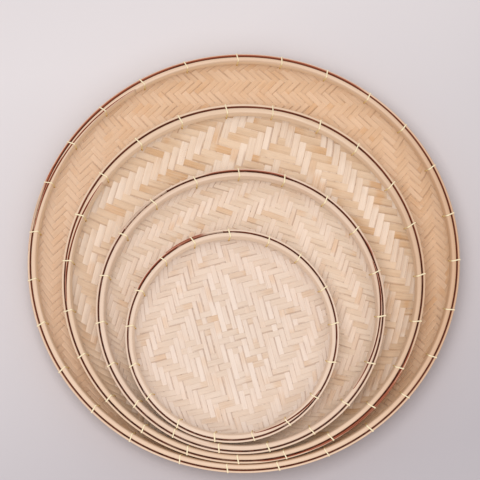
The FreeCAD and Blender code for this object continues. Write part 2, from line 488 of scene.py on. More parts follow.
@dataclass(frozen=True)
class SplintFinish:
    """Raw split bamboo, each splint in a tone of its own, with fibres along it, and painted light and
    shade.

    Attributes:
        name: Name of the material.
        pale: The lightest splints, also the base of the painted light towards -X.
        plain: Most splints.
        warm: Tan splints.
        rare: The few reddish splints.
        brown_and_shade: Dark brown of the darker fibres and the scorched splint ends at the rim, also
            painted shade at the splint edges and in the recess under the hoops.
        seed: Number that tells this set of splints from the others.
    """

    name: str
    pale: Colour
    plain: Colour
    warm: Colour
    rare: Colour
    brown_and_shade: Colour
    seed: float

    def material(self) -> bpy.types.Material:
        """Makes the material.

        Returns:
            The finished material.
        """
        t = ShaderTree(self.name)
        splint = t.attribute("splint") * 7.31 + self.seed
        along, across = t.attribute("along"), t.attribute("across")
        own, other = t.chance(splint), t.chance(splint + 0.37)

        # Tone of the whole splint, which drifts along it, and a few reddish patches.
        drift = t.noise(t.vector(along * 38.0, splint * 9.7, 0.0), detail=1.0)
        tone = (own * 0.62 + (drift - 0.5) * 1.15 + 0.19).within(0.0, 1.0)
        colour = t.ramp(tone, [(0.0, self.pale), (0.34, self.pale), (0.52, self.plain),
                               (0.74, self.plain), (0.93, self.warm), (1.0, self.warm)])
        patch = t.noise(t.vector(along * 55.0, splint * 5.3 + 11.0, 3.0), detail=0.0)
        reddish = (patch + other * 0.25).step(0.80, 0.92) * 0.55
        colour = t.mix(reddish, colour, self.rare)

        # Fibres along the splint, coarse and fine.
        coarse = t.noise(t.vector(along * 45.0, across * 2.2, splint * 3.1), detail=3.0, rough=0.6)
        fine = t.noise(t.vector(along * 110.0, across * 7.5, splint * 1.7), detail=2.0, rough=0.6)
        lines = (coarse - 0.5) * 0.8 + (fine - 0.5) * 0.9
        darker = (lines * -1.6).within(0.0, 1.0)
        lighter = (lines * 1.2).within(0.0, 1.0)
        colour = t.mix(darker * 0.75, colour, t.mix(0.45, colour, self.brown_and_shade))
        colour = t.mix(lighter * 0.55, colour, self.pale)

        # Splint edges darkened with painted shade of the gaps between splints, dark here and there on
        # one side, and pale stripes.
        shade_stretch = t.noise(t.vector(along * 42.0, splint * 2.9 + 23.0, 5.0), detail=0.0)
        one_side = across * other.step(0.4, 0.6) + abs(across) * 0.5
        shaded = (shade_stretch + other * 0.3).step(0.62, 0.78) * one_side.step(0.7, 1.0)
        gap_shade = abs(across).step(0.80, 1.0) * 0.12 + shaded * 0.5
        colour = t.mix(gap_shade.low(1.0), colour, t.mix(0.55, self.warm, self.brown_and_shade))
        stripe = t.noise(t.vector(along * 12.0, across * 3.4, splint * 4.3), detail=0.0)
        colour = t.mix((stripe * 3.0 - 1.6).within(0.0, 0.5), colour, self.pale)

        # Painted light towards -X, where the light falls brighter, and the splint ends under the
        # hoops darkened: partly scorched, partly painted shade of the recess between the hoops.
        x, _, _ = t.split(t.add("ShaderNodeTexCoord").outputs["Object"])
        painted_light_minus_x = (x * -4.5 - 0.25).within(0.0, 0.5)
        colour = t.mix(painted_light_minus_x, colour, t.mix(0.5, self.pale, srgb(255, 240, 225)))
        colour = t.mix(t.attribute("edge").step(0.972, 0.990), colour, self.brown_and_shade)
        roughness = 0.62 + (fine - 0.5) * 0.25 + own * 0.08
        return t.finish(colour, roughness, lines + 0.5, bump=0.35, depth=0.00018,
                        fixed={"Specular IOR Level": 0.35})


@dataclass(frozen=True)
class HoopFinish:
    """Planed bamboo strip: fibres along it, skin left brown on the side in the gap, and painted light
    and shade.

    Attributes:
        name: Name of the material.
        face: Colour of the planed faces.
        light: Lighter streaks.
        deep: Darker streaks, also the painted shade towards +X.
        low: Colour towards the lower edge, lighter: painted light that lifts the shade on the lower
            part of the faces.
        lit_skin: Brown skin where it catches the light, the lit copy of the skin in the gap.
        skin: Brown skin deep in the gap between the hoops, darkened as painted shade.
        ruddy: How much of the gap shows the lighter reddish skin instead of its painted shade.
        seed: Number that tells this hoop from the others.
    """

    name: str
    face: Colour
    light: Colour
    deep: Colour
    low: Colour
    lit_skin: Colour
    skin: Colour
    ruddy: float
    seed: float

    def material(self) -> bpy.types.Material:
        """Makes the material.

        Returns:
            The finished material.
        """
        t = ShaderTree(self.name)
        along, across, gap = (t.attribute(name) for name in ("along", "across", "gap"))

        # Planed face: broad light streaks, fine fibres and stains.
        broad = t.noise(t.vector(along * 9.0, across * 500.0, self.seed), detail=2.0)
        fibre = t.noise(t.vector(along * 60.0, across * 3500.0, self.seed + 5.0),
                        detail=3.0, rough=0.6)
        stain = t.noise(t.vector(along * 16.0, across * 90.0, self.seed + 9.0),
                        detail=4.0, rough=0.65)
        colour = t.mix((broad * 2.2 - 0.6).within(0.0, 1.0), self.face, self.light)
        # Painted light: the lower part of the faces is lighter, lifting their shade.
        colour = t.mix(t.attribute("down").step(0.12, 0.5) * 0.65, colour, self.low)
        colour = t.mix(((0.5 - fibre) * 3.0).within(0.0, 1.0) * 0.55, colour, self.deep)
        colour = t.mix(stain.step(0.58, 0.75) * 0.5, colour, self.deep)

        # Painted shade towards +X, where less light falls.
        x, _, _ = t.split(t.add("ShaderNodeTexCoord").outputs["Object"])
        painted_shade_plus_x = (x * 9.0 - 0.70 + (broad - 0.5) * 0.8).within(0.0, 0.75)
        colour = t.mix(painted_shade_plus_x, colour, self.deep)

        # Brown skin in the gap: a reddish lit copy where it catches the light, and a darker copy as
        # painted shade deep in the gap.
        mottled = (gap + (stain - 0.5) * 1.4 * gap).step(0.25, 0.70)
        reddened = t.noise(t.vector(along * 11.0, self.seed + 3.0, 0.0), detail=3.0, rough=0.6)
        deep_gap_shade = gap.step(0.6, 1.0) * (1 - (reddened * self.ruddy).step(0.42, 0.72) * 0.75)
        colour = t.mix(mottled, colour, t.mix(deep_gap_shade, self.lit_skin, self.skin))
        return t.finish(colour, 0.48 + (fibre - 0.5) * 0.3, fibre, bump=0.25, depth=0.00020,
                        fixed={"Specular IOR Level": 0.4})


@dataclass(frozen=True)
class CaneFinish:
    """Split cane: glossy golden skin with fine lines along it, and painted light and shade.

    Attributes:
        name: Name of the material.
        top: Colour over the rim, lighter as painted light.
        side: Colour down the inner face, the darker copy as painted shade.
        hole_shade_and_lines: Painted shadow where the tie goes into the mat, also the darker fine
            lines.
    """

    name: str
    top: Colour
    side: Colour
    hole_shade_and_lines: Colour

    def material(self) -> bpy.types.Material:
        """Makes the material.

        Returns:
            The finished material.
        """
        t = ShaderTree(self.name)
        low, along, across = (t.attribute(name) for name in ("low", "along", "across"))
        lines = t.noise(t.vector(along * 200.0, across * 6000.0, 0.0), detail=2.0)
        # Painted light and shade: lighter over the rim, darker down the inner face, and a painted
        # shadow where the tie goes into the mat.
        colour = t.mix(low.step(0.02, 0.35), self.top, self.side)
        colour = t.mix(low.step(0.62, 0.92), colour, self.hole_shade_and_lines)
        colour = t.mix(((0.5 - lines) * 2.5).within(0.0, 1.0) * 0.5, colour, self.hole_shade_and_lines)
        return t.finish(colour, 0.42 + (lines - 0.5) * 0.2, lines, bump=0.25, depth=0.00012,
                        fixed={"Specular IOR Level": 0.5})


@dataclass(frozen=True)
class FloorFinish:
    """Pale paper-like floor, darkened towards +X and -Y with painted shade.

    Attributes:
        name: Name of the material.
        near: Colour of the floor.
        far: Painted shade that the floor darkens to towards +X and -Y.
    """

    name: str
    near: Colour
    far: Colour

    def material(self) -> bpy.types.Material:
        """Makes the material.

        Returns:
            The finished material.
        """
        t = ShaderTree(self.name)
        place = t.add("ShaderNodeTexCoord").outputs["Object"]
        x, y, _ = t.split(place)
        cloud = t.noise(place, scale=3.0, detail=2.0)
        # Painted shade: the floor darkens towards +X and -Y, in a soft cloud.
        drift = ((cloud - 0.5) * 0.4 + x - y * 2.6 + 0.5).within(0.0, 1.0)
        grain = t.noise(place, scale=900.0, detail=2.0)
        colour = t.mix(drift, self.near, self.far)
        return t.finish(colour, 0.85 + (grain - 0.5) * 0.1, grain, bump=0.08, depth=0.0003)


# ---- Shape of one tray ----

RIM_FLARE = math.radians(20)
WALL_TURN = math.radians(70)
INNER_STRIP = 3.0 * MM
INNER_DEPTH = 4.8 * MM
OUTER_STRIP = 1.2 * MM
OUTER_DEPTH = 5.8 * MM
MAT_THICKNESS = 1.1 * MM
SEAT_GAP = 0.05 * MM
EDGE_DROP = 1.2 * MM
MAT_ACROSS = MAT_THICKNESS / math.cos(RIM_FLARE)
RIM_WIDTH = OUTER_STRIP + 2 * SEAT_GAP + MAT_ACROSS + INNER_STRIP


@dataclass(frozen=True)
class Lap:
    """The long tapered joint of a hoop.

    Attributes:
        middle: Bearing of its middle, in degrees.
        span: How far it goes round, in degrees.
    """

    middle: float
    span: float


@dataclass(frozen=True)
class TrayShape:
    """Sizes and place of one tray.

    Attributes:
        label: Size name used in the node names.
        diameter: Diameter across the rim.
        height: Height of the rim above the underside.
        bend: Inner radius of the bend between floor and wall.
        centre: Middle of the underside.
        bearing: Bearing at which it rests on the larger tray's rim, in degrees.
        inner_lap: Joint of the inner hoop.
        outer_lap: Joint of the outer hoop.
        open_gap: First and last bearing of each stretch where the outer hoop stands off and its
            brown skin shows, in degrees.
        ties: How many ties go round it.
        tie_start: Bearing of the first tie, in degrees.
        wide: How far each side bulges out of a true circle.
        far: How far the far side bulges out of a true circle.
        wobble: Waves of the rim, each as turns, phase in degrees, outward and downward size.
    """

    label: str
    diameter: float
    height: float
    bend: float
    centre: tuple[float, float, float]
    bearing: float
    inner_lap: Lap
    outer_lap: Lap
    open_gap: tuple[tuple[float, float], ...]
    ties: int
    tie_start: float
    wide: float
    far: float
    wobble: tuple[tuple[int, float, float, float], ...]

    # Degrees over which an open gap closes, and the share of the floor that never moves.
    GAP_FADE = 8.0
    STIFF_FLOOR = 0.8

    @property
    def radius(self) -> float:
        """Radius of the rim."""
        return self.diameter / 2

    @property
    def middle_bend(self) -> float:
        """Radius of the bend at the middle of the mat's thickness."""
        return self.bend + MAT_THICKNESS / 2

    @property
    def outer_bend(self) -> float:
        """Radius of the bend at the underside."""
        return self.bend + MAT_THICKNESS

    @property
    def bend_rise(self) -> float:
        """Height at which the bend ends and the straight wall begins."""
        return self.outer_bend * (1 - math.sin(RIM_FLARE))

    @property
    def floor_radius(self) -> float:
        """Radius of the flat floor."""
        foot = (self.radius - OUTER_STRIP - SEAT_GAP
                - (self.height - self.bend_rise) * math.tan(RIM_FLARE))
        return foot - self.outer_bend * math.cos(RIM_FLARE)

    @property
    def reach(self) -> float:
        """Distance from the middle to the mat's edge, measured along the mat."""
        wall = (self.height - self.bend_rise - EDGE_DROP) / math.cos(RIM_FLARE)
        return self.floor_radius + self.middle_bend * WALL_TURN + wall

    def openness(self, angle: float) -> float:
        """How far the outer hoop's skin shows at one bearing.

        Args:
            angle: The bearing, in radians.

        Returns:
            1 inside an open stretch, fading to 0 towards its ends.
        """
        bearing = math.degrees(angle) % 360
        return max((min(1.0, max(0.0, min(bearing - first, last - bearing) / self.GAP_FADE))
                    for first, last in self.open_gap), default=0.0)

    def settle(self, mesh: bpy.types.Mesh) -> None:
        """Bends a mesh that was made true round with the rim's small waves.

        The waves fade out towards the floor, and where the tray rests on the larger rim.

        Args:
            mesh: The mesh to change.
        """
        co = np.empty(len(mesh.vertices) * 3, np.float32)
        mesh.vertices.foreach_get("co", co)
        co = co.reshape(-1, 3).astype(float)
        x, y = co[:, 0] - self.centre[0], co[:, 1] - self.centre[1]
        r = np.hypot(x, y)
        angle = np.arctan2(y, x)
        still = self.floor_radius * self.STIFF_FLOOR
        share = np.clip((r - still) / (self.radius - still), 0, 1.1) ** 2
        free = np.sin((angle - math.radians(self.bearing)) / 2) ** 2
        out = np.zeros(len(r))
        up = np.zeros(len(r))
        for turns, phase, outward, downward in self.wobble:
            wave = np.cos(turns * angle - math.radians(phase))
            out += outward * wave
            up += downward * (wave - 1) / 2
        factor = 1 + out * share * free / np.maximum(r, 1e-6)
        co[:, 0] = self.centre[0] + x * factor + self.wide * np.cos(angle) * share
        co[:, 1] = self.centre[1] + y * factor + self.far * (1 + np.sin(angle)) / 2 * share
        co[:, 2] += up * share * free
        mesh.vertices.foreach_set("co", co.astype(np.float32).ravel())
        mesh.update()


# ---- Mats ----


class Course(Enum):
    """The two directions of splints in a mat."""

    WARP = 1
    WEFT = -1


class MatTree(GeometryTree):
    """Lays the splints of one direction of a mat, over and under the others."""

    # Points from one crossing to the next, rings in the middle with small diamonds, how unevenly
    # splints are cut and laid, the sharpest edge that is shaded smooth, and where the numbers of
    # splints and of their ends start, so that none is negative.
    STEPS = 3
    HEART = 9.5
    END_TRIM = 0.45 * MM
    SIDE_SHIFT = 0.14 * MM
    SWAY = 0.5 * MM
    SWAY_PACE = 28.0
    SHARP_EDGE = math.radians(26)
    NUMBERS_FROM, ENDS_FROM = 500, 2000

    def __init__(self) -> None:
        """Builds the tree."""
        number, whole = "NodeSocketFloat", "NodeSocketInt"
        super().__init__("lay_splints", [
            ("Splints", whole), ("Pitch", number), ("Crossing Pitch", number), ("Width", number),
            ("Thickness", number), ("Lift", number), ("Over", number), ("Floor Radius", number),
            ("Bend Radius", number), ("Reach", number), ("Top", number), ("Turn", number),
            ("Middle", "NodeSocketVector"), ("Seed", whole), ("Material", "NodeSocketMaterial")])
        self.end(self.sweep(self.lay()), self.given("Material"))

    def lay(self) -> bpy.types.NodeSocket:
        """Lays flat splints, one straight line each, with their number kept on them.

        Returns:
            The lines.
        """
        count, pitch = self.given("Splints"), self.given("Pitch")
        first = (count - 1) * pitch * -0.5
        row = self.add("GeometryNodeMeshLine", {"mode": "OFFSET", "count_mode": "TOTAL"}, {
            "Count": count, "Start Location": self.vector(0.0, first, 0.0),
            "Offset": self.vector(0.0, pitch, 0.0)}).outputs[0]
        index = self.num(self.add("GeometryNodeInputIndex"))
        row = self.keep(row, "splint", index - (count - 1) / 2)
        gap = self.given("Crossing Pitch") / self.STEPS
        steps = (self.given("Reach") / gap).ceil() + 1
        half = steps * gap
        line = self.add("GeometryNodeCurvePrimitiveLine", {"mode": "POINTS"}, {
            "Start": self.vector(-half, 0.0, 0.0), "End": self.vector(half, 0.0, 0.0)}).outputs[0]
        line = self.add("GeometryNodeResampleCurve", values={
            "Curve": line, "Count": steps * 2 + 1}).outputs[0]
        laid = self.add("GeometryNodeInstanceOnPoints", values={
            "Points": row, "Instance": line}).outputs[0]
        return self.add("GeometryNodeRealizeInstances", values={0: laid}).outputs[0]

    def weave(self, here: Num, along: Num) -> Num:
        """Height of a splint in the weave: 1 over, -1 under.

        Args:
            here: Number of the splint, counted from the middle.
            along: Place along it, in crossings from the middle.

        Returns:
            The height. Rings of three over and three under make concentric diamonds,
            round small diamonds in the middle.
        """
        ring = abs(here) + abs(along)
        wave = abs((ring + 1).wrap(-3.0, 3.0))
        outside = ((1.5 - wave) * 6).within(-1.0, 1.0)
        one = abs((here + along).wrap(-4.0, 4.0))
        two = abs((here - along).wrap(-4.0, 4.0))
        inside = ((abs(one.high(two) - 1.5) - 1) * 6).within(-1.0, 1.0)
        middle = ring < self.HEART
        return (inside * middle + outside * (1 - middle)) * self.given("Over")

    def whole(self, value: Num) -> Num:
        """value, as a whole number."""
        return self.num(self.add("FunctionNodeFloatToInt", values={0: value}))

    def sweep(self, splints: bpy.types.NodeSocket) -> bpy.types.NodeSocket:
        """Bends the flat splints into the dish and gives them their width and thickness.

        Args:
            splints: The flat splints.

        Returns:
            The splints of the finished mat, in place.
        """
        seed = self.given("Seed")
        reach, gap = self.given("Reach"), self.given("Crossing Pitch") / self.STEPS
        number = self.kept("splint")
        name = self.whole(number + self.NUMBERS_FROM)
        x, y, _ = self.split(self.add("GeometryNodeInputPosition").outputs[0])
        end = self.whole(number * 2 + self.ENDS_FROM + (x > 0.0))
        trimmed = reach - self.random(0.0, self.END_TRIM, end, seed + 7)
        shift = self.random(-self.SIDE_SHIFT, self.SIDE_SHIFT, name, seed)
        sway = self.num(self.add("ShaderNodeTexNoise", {"noise_dimensions": "3D"}, {
            "Vector": self.vector(x * self.SWAY_PACE, number * 3.7, seed),
            "Scale": 1.0, "Detail": 0.0}))
        across = y + shift + (sway - 0.5) * self.SWAY
        splints = self.keep(splints, "chord",
                            (trimmed * trimmed - across * across).high(1e-9).root())
        splints = self.keep(splints, "aside", across)
        spare = abs(x) > self.kept("chord") + gap * 0.98
        splints = self.add("GeometryNodeDeleteGeometry", {"domain": "POINT", "mode": "ALL"}, {
            "Geometry": splints, "Selection": spare}).outputs[0]
        splints = self.keep(splints, "along", x.high(-self.kept("chord")).low(self.kept("chord")))
        u, v = self.kept("along"), self.kept("aside")
        out = (u * u + v * v).root().high(1e-6)
        floor, bend = self.given("Floor Radius"), self.given("Bend Radius")
        lean = ((out - floor) / bend).within(0.0, WALL_TURN)
        wall = (out - floor - bend * WALL_TURN).high(0.0)
        r = out.low(floor) + bend * lean.sin() + wall * math.cos(WALL_TURN)
        z = bend * (1 - lean.cos()) + wall * math.sin(WALL_TURN) + MAT_THICKNESS / 2
        squeeze = r / out
        width = squeeze * out / (u * u + v * v * squeeze * squeeze).root()
        splints = self.keep(splints, "narrow", width * self.random(0.945, 1.01, name, seed + 3))
        splints = self.keep(splints, "edge", out / reach)
        height = self.weave(number, x / self.given("Crossing Pitch"))
        height = height * self.given("Lift") * self.random(0.86, 1.06, name, seed + 5)
        tilt = lean.sin()
        face = self.vector(-(tilt * u / out), -(tilt * v / out), lean.cos())
        splints = self.add("GeometryNodeSetCurveNormal", {"mode": "FREE"}, {
            "Curve": splints, "Normal": face}).outputs[0]
        outward = r - tilt * height
        place = self.vector(u / out * outward, v / out * outward, z + lean.cos() * height)
        splints = self.add("GeometryNodeSetPosition", values={
            "Geometry": splints, "Position": place}).outputs[0]
        shell = self.add("GeometryNodeCurveToMesh", values={
            "Curve": splints, "Profile Curve": self.section(), "Scale": self.kept("narrow"),
            "Fill Caps": True}).outputs[0]
        sharp = self.num(self.add("GeometryNodeInputMeshEdgeAngle")) > self.SHARP_EDGE
        shell = self.add("GeometryNodeSetShadeSmooth", {"domain": "EDGE"}, {
            0: shell, "Selection": sharp, "Shade Smooth": False}).outputs[0]
        x, y, z = self.split(self.add("GeometryNodeInputPosition").outputs[0])
        over = (z - self.given("Top")).high(0.0)
        inward = over * math.tan(RIM_FLARE) / (x * x + y * y).root().high(1e-6)
        shell = self.add("GeometryNodeSetPosition", values={
            "Geometry": shell, "Offset": self.vector(-(x * inward), -(y * inward), -over),
        }).outputs[0]
        return self.add("GeometryNodeTransform", values={
            "Geometry": shell, "Translation": self.given("Middle"),
            "Rotation": self.vector(0.0, 0.0, self.given("Turn"))}).outputs[0]

    def section(self) -> bpy.types.NodeSocket:
        """Section of a splint: flat, with both edges thinned.

        Returns:
            The closed curve.
        """
        ring = self.add("GeometryNodeCurvePrimitiveCircle", {"mode": "RADIUS"}, {
            "Resolution": 6, "Radius": 1.0}).outputs[0]
        ring = self.add("GeometryNodeTransform", values={
            "Geometry": ring, "Rotation": (0.0, 0.0, math.radians(30))}).outputs[0]
        x, y, _ = self.split(self.add("GeometryNodeInputPosition").outputs[0])
        ring = self.keep(ring, "across", (y * 1.68).within(-1.0, 1.0))
        half = self.given("Thickness") / (2 * math.cos(math.radians(30)))
        return self.add("GeometryNodeSetPosition", values={
            "Geometry": ring,
            "Position": self.vector(x * half, self.kept("across") * self.given("Width") / 2, 0.0),
        }).outputs[0]


@dataclass(frozen=True)
class WovenMat:
    """The mat of one tray.

    Attributes:
        shape: The tray's sizes.
        turn: Direction of the weft, in degrees.
        warp_pitch: Distance from one warp splint to the next.
        weft_pitch: Distance from one weft splint to the next.
        warp_finish: Finish of the warp.
        weft_finish: Finish of the weft.
        seed: Seed of this mat's small differences.
    """

    shape: TrayShape
    turn: float
    warp_pitch: float
    weft_pitch: float
    warp_finish: SplintFinish
    weft_finish: SplintFinish
    seed: int

    # LAST_SPLINT is the part of a pitch that is left free past the last splint.
    SPLINT_THICKNESS = 0.36 * MM
    SPLINT_LIFT = 0.2 * MM
    SIDE_GAP = 0.06 * MM
    LAST_SPLINT = 0.35

    def course(self, tree: MatTree, course: Course) -> bpy.types.Object:
        """Lays one direction of splints.

        Args:
            tree: The tree that lays them.
            course: Which direction.

        Returns:
            The splints as one piece.
        """
        is_warp = course is Course.WARP
        pitch, crossing = ((self.warp_pitch, self.weft_pitch) if is_warp
                           else (self.weft_pitch, self.warp_pitch))
        finish = self.warp_finish if is_warp else self.weft_finish
        each_way = int((self.shape.reach - self.LAST_SPLINT * pitch) / pitch)
        piece = grow(f"{course.name.lower()}_splints_{self.shape.label}", tree, {
            "Splints": 2 * each_way + 1,
            "Pitch": pitch,
            "Crossing Pitch": crossing,
            "Width": pitch - self.SIDE_GAP,
            "Thickness": self.SPLINT_THICKNESS,
            "Lift": self.SPLINT_LIFT,
            "Over": float(course.value),
            "Floor Radius": self.shape.floor_radius,
            "Bend Radius": self.shape.middle_bend,
            "Reach": self.shape.reach,
            "Top": self.shape.height - EDGE_DROP,
            "Turn": math.radians(self.turn + (90 if is_warp else 0)),
            "Middle": self.shape.centre,
            "Seed": self.seed + (50 if is_warp else 0),
            "Material": finish.material(),
        })
        self.shape.settle(piece.data)
        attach(piece, f"tray_{self.shape.label}")
        return piece

    def build(self, tree: MatTree) -> list[bpy.types.Object]:
        """Lays warp and weft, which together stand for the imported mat.

        Args:
            tree: The tree that lays splints.

        Returns:
            Both pieces.
        """
        pieces = [self.course(tree, course) for course in Course]
        for piece in pieces:
            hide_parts(f"woven_mat_{self.shape.label}")
        return pieces


# ---- Hoops ----


class Side(Enum):
    """The two hoops of a rim."""

    INNER = "inner"
    OUTER = "outer"


@dataclass(frozen=True)
class Hoop:
    """One bent strip of a rim, its ends tapered and lapped.

    Attributes:
        shape: The tray's sizes.
        side: Which hoop.
        finish: Its finish.
    """

    shape: TrayShape
    side: Side
    finish: HoopFinish

    # Points round a worn edge, slit of the lap, thickness of its tips, how hard the strip presses
    # on the mat, angle from one section to the next, and unevenness of the handwork.
    CORNER_POINTS = 5
    LAP_GAP = 0.5 * MM
    TIP = 0.5 * MM
    SNUG = 0.12 * MM
    STEP = math.radians(1.25)
    HAND_WORK = 0.12 * MM

    @property
    def lap(self) -> Lap:
        """The hoop's joint."""
        return self.shape.inner_lap if self.side is Side.INNER else self.shape.outer_lap

    @property
    def faces(self) -> tuple[float, float]:
        """Distance of the outer and inner face from the rim's outside."""
        if self.side is Side.OUTER:
            return 0.0, OUTER_STRIP + self.SNUG
        return RIM_WIDTH - INNER_STRIP - self.SNUG, RIM_WIDTH

    @property
    def rounding(self) -> float:
        """Radius rounded onto the strip's edges by wear."""
        return 0.9 * MM if self.side is Side.INNER else 0.45 * MM

    @property
    def depth(self) -> float:
        """Height of the strip."""
        return INNER_DEPTH if self.side is Side.INNER else OUTER_DEPTH

    def extent(self, travelled: float) -> tuple[float, float]:
        """Outer and inner face of the strip at one place along it.

        Args:
            travelled: Angle from the strip's start.

        Returns:
            Distance of both faces from the rim's outside.
        """
        outside, inside = self.faces
        span = math.radians(self.lap.span)
        turn = 2 * math.pi
        if travelled < span:
            slit = inside + (outside - inside) * travelled / span
            return min(slit + self.LAP_GAP / 2, inside - self.TIP), inside
        if travelled > turn:
            slit = inside + (outside - inside) * (travelled - turn) / span
            return outside, max(slit - self.LAP_GAP / 2, outside + self.TIP)
        return outside, inside

    def section(self, outside: float, inside: float) -> list[tuple[float, float, float]]:
        """Rounded section of the strip.

        Args:
            outside: Distance of the outer face from the rim's outside.
            inside: Distance of the inner face from the rim's outside.

        Returns:
            Points as inset, drop below the rim, and place across the strip's girth.
        """
        bend = min(self.rounding, (inside - outside) * 0.45)
        corners = [
            (inside - bend, bend, 0.0), (inside - bend, self.depth - bend, 90.0),
            (outside + bend, self.depth - bend, 180.0), (outside + bend, bend, 270.0)]
        points = []
        for x, drop, start in corners:
            for k in range(self.CORNER_POINTS):
                angle = math.radians(start - 90 + 90 * k / (self.CORNER_POINTS - 1))
                points.append((x + bend * math.cos(angle), drop + bend * math.sin(angle)))
        girth, out = 0.0, []
        for k, (x, drop) in enumerate(points):
            if k:
                girth += math.dist((x, drop), points[k - 1])
            out.append((x, drop, girth))
        return out

    def skin(self, outward: float, inward: float, drop: float, travelled: float,
             angle: float) -> float:
        """How brown the strip is at one point: skin lines the gap, and the slit of the lap, with
        painted shade deep in them.

        Args:
            outward: Distance to the strip's outer face.
            inward: Distance to its inner face.
            drop: Distance below the rim.
            travelled: Angle from the strip's start.
            angle: Bearing in radians.

        Returns:
            1 deep in the gap, where the painted shade is darkest, about 0.6 where skin catches the
            light, 0 on planed bamboo.
        """
        is_outer = self.side is Side.OUTER
        to_gap = inward if is_outer else outward
        if to_gap < 0.06 * MM and drop > 0.35 * MM:
            return 1.0
        if is_outer and to_gap < 0.5 * MM and drop < self.rounding:
            return 0.66 * self.shape.openness(angle)
        span = math.radians(self.lap.span)
        to_slit = outward if travelled < span else inward if travelled > 2 * math.pi else 1.0
        if to_slit < 0.3 * MM:
            return 0.9 if drop > 0.15 * MM else 0.66
        return 0.0

    def loft(self) -> bpy.types.Mesh:
        """Lofts the strip round the rim.

        Returns:
            The closed strip, true round.
        """
        shape = self.shape
        span = math.radians(self.lap.span)
        start = math.radians(self.lap.middle) - span / 2
        total = 2 * math.pi + span
        count = int(total / self.STEP)
        verts, along, across, gap, down = [], [], [], [], []
        draw = np.random.default_rng(len(shape.label) + round(self.lap.middle))
        waves = draw.uniform(0, 2 * math.pi, 3)
        for i in range(count + 1):
            travelled = total * i / count
            outside, inside = self.extent(travelled)
            lean = self.HAND_WORK * (
                math.sin(5 * travelled + waves[0]) + 0.6 * math.sin(11 * travelled + waves[1]))
            thin = self.HAND_WORK * 0.8 * math.sin(7 * travelled + waves[2])
            angle = start + travelled
            for x, drop, girth in self.section(outside, inside):
                r = shape.radius - x - drop * math.tan(RIM_FLARE)
                verts.append((shape.centre[0] + r * math.cos(angle),
                              shape.centre[1] + r * math.sin(angle),
                              shape.centre[2] + shape.height - drop + lean * drop / self.depth
                              + min(0.0, thin)))
                along.append(travelled * shape.radius)
                across.append(girth)
                gap.append(self.skin(x - outside, inside - x, drop, travelled, angle))
                down.append(drop / self.depth)
        size = 4 * self.CORNER_POINTS
        faces = [(a, d, c, b) for a, b, c, d in join_rings(size, count + 1, closed=False)]
        faces.append(tuple(range(size)))
        faces.append(tuple(range((count + 1) * size - 1, count * size - 1, -1)))
        mesh = bpy.data.meshes.new(f"{self.side.value}_strip_{shape.label}")
        mesh.from_pydata(verts, [], faces)
        keep_numbers(mesh, along=along, across=across, gap=gap, down=down)
        mesh.shade_smooth()
        return mesh

    def build(self) -> bpy.types.Object:
        """Makes and dresses the hoop.

        Returns:
            The hoop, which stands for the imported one.
        """
        shape, mesh = self.shape, self.loft()
        mesh.materials.append(self.finish.material())
        shape.settle(mesh)
        piece = show(mesh.name, mesh)
        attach(piece, f"tray_{shape.label}")
        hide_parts(f"{self.side.value}_hoop_{shape.label}")
        return piece


# ---- Ties ----


class TieTree(GeometryTree):
    """Sets one tie round the rim again and again."""

    def __init__(self) -> None:
        """Builds the tree."""
        number, whole = "NodeSocketFloat", "NodeSocketInt"
        super().__init__("set_ties", [
            ("Ties", whole), ("Start", number), ("Uneven", number), ("Middle", "NodeSocketVector"),
            ("Seed", whole), ("Material", "NodeSocketMaterial")])
        count = self.given("Ties")
        points = self.add("GeometryNodeMeshLine", {"mode": "OFFSET", "count_mode": "TOTAL"}, {
            "Count": count, "Offset": (0.0, 0.0, 0.0)}).outputs[0]
        index = self.num(self.add("GeometryNodeInputIndex"))
        uneven = self.given("Uneven")
        angle = (self.given("Start") + index * (2 * math.pi) / count
                 + self.random(-uneven, uneven, index, self.given("Seed")))
        size = self.random(0.9, 1.12, index, self.given("Seed") + 3)
        ring = self.add("GeometryNodeInstanceOnPoints", values={
            "Points": points, "Instance": self.num(self.entry, "Geometry"),
            "Rotation": self.vector(0.0, 0.0, angle),
            "Scale": self.vector(1.0, size, 1.0)}).outputs[0]
        ring = self.add("GeometryNodeTransform", values={
            "Geometry": ring, "Translation": self.given("Middle")}).outputs[0]
        self.end(ring, self.given("Material"))


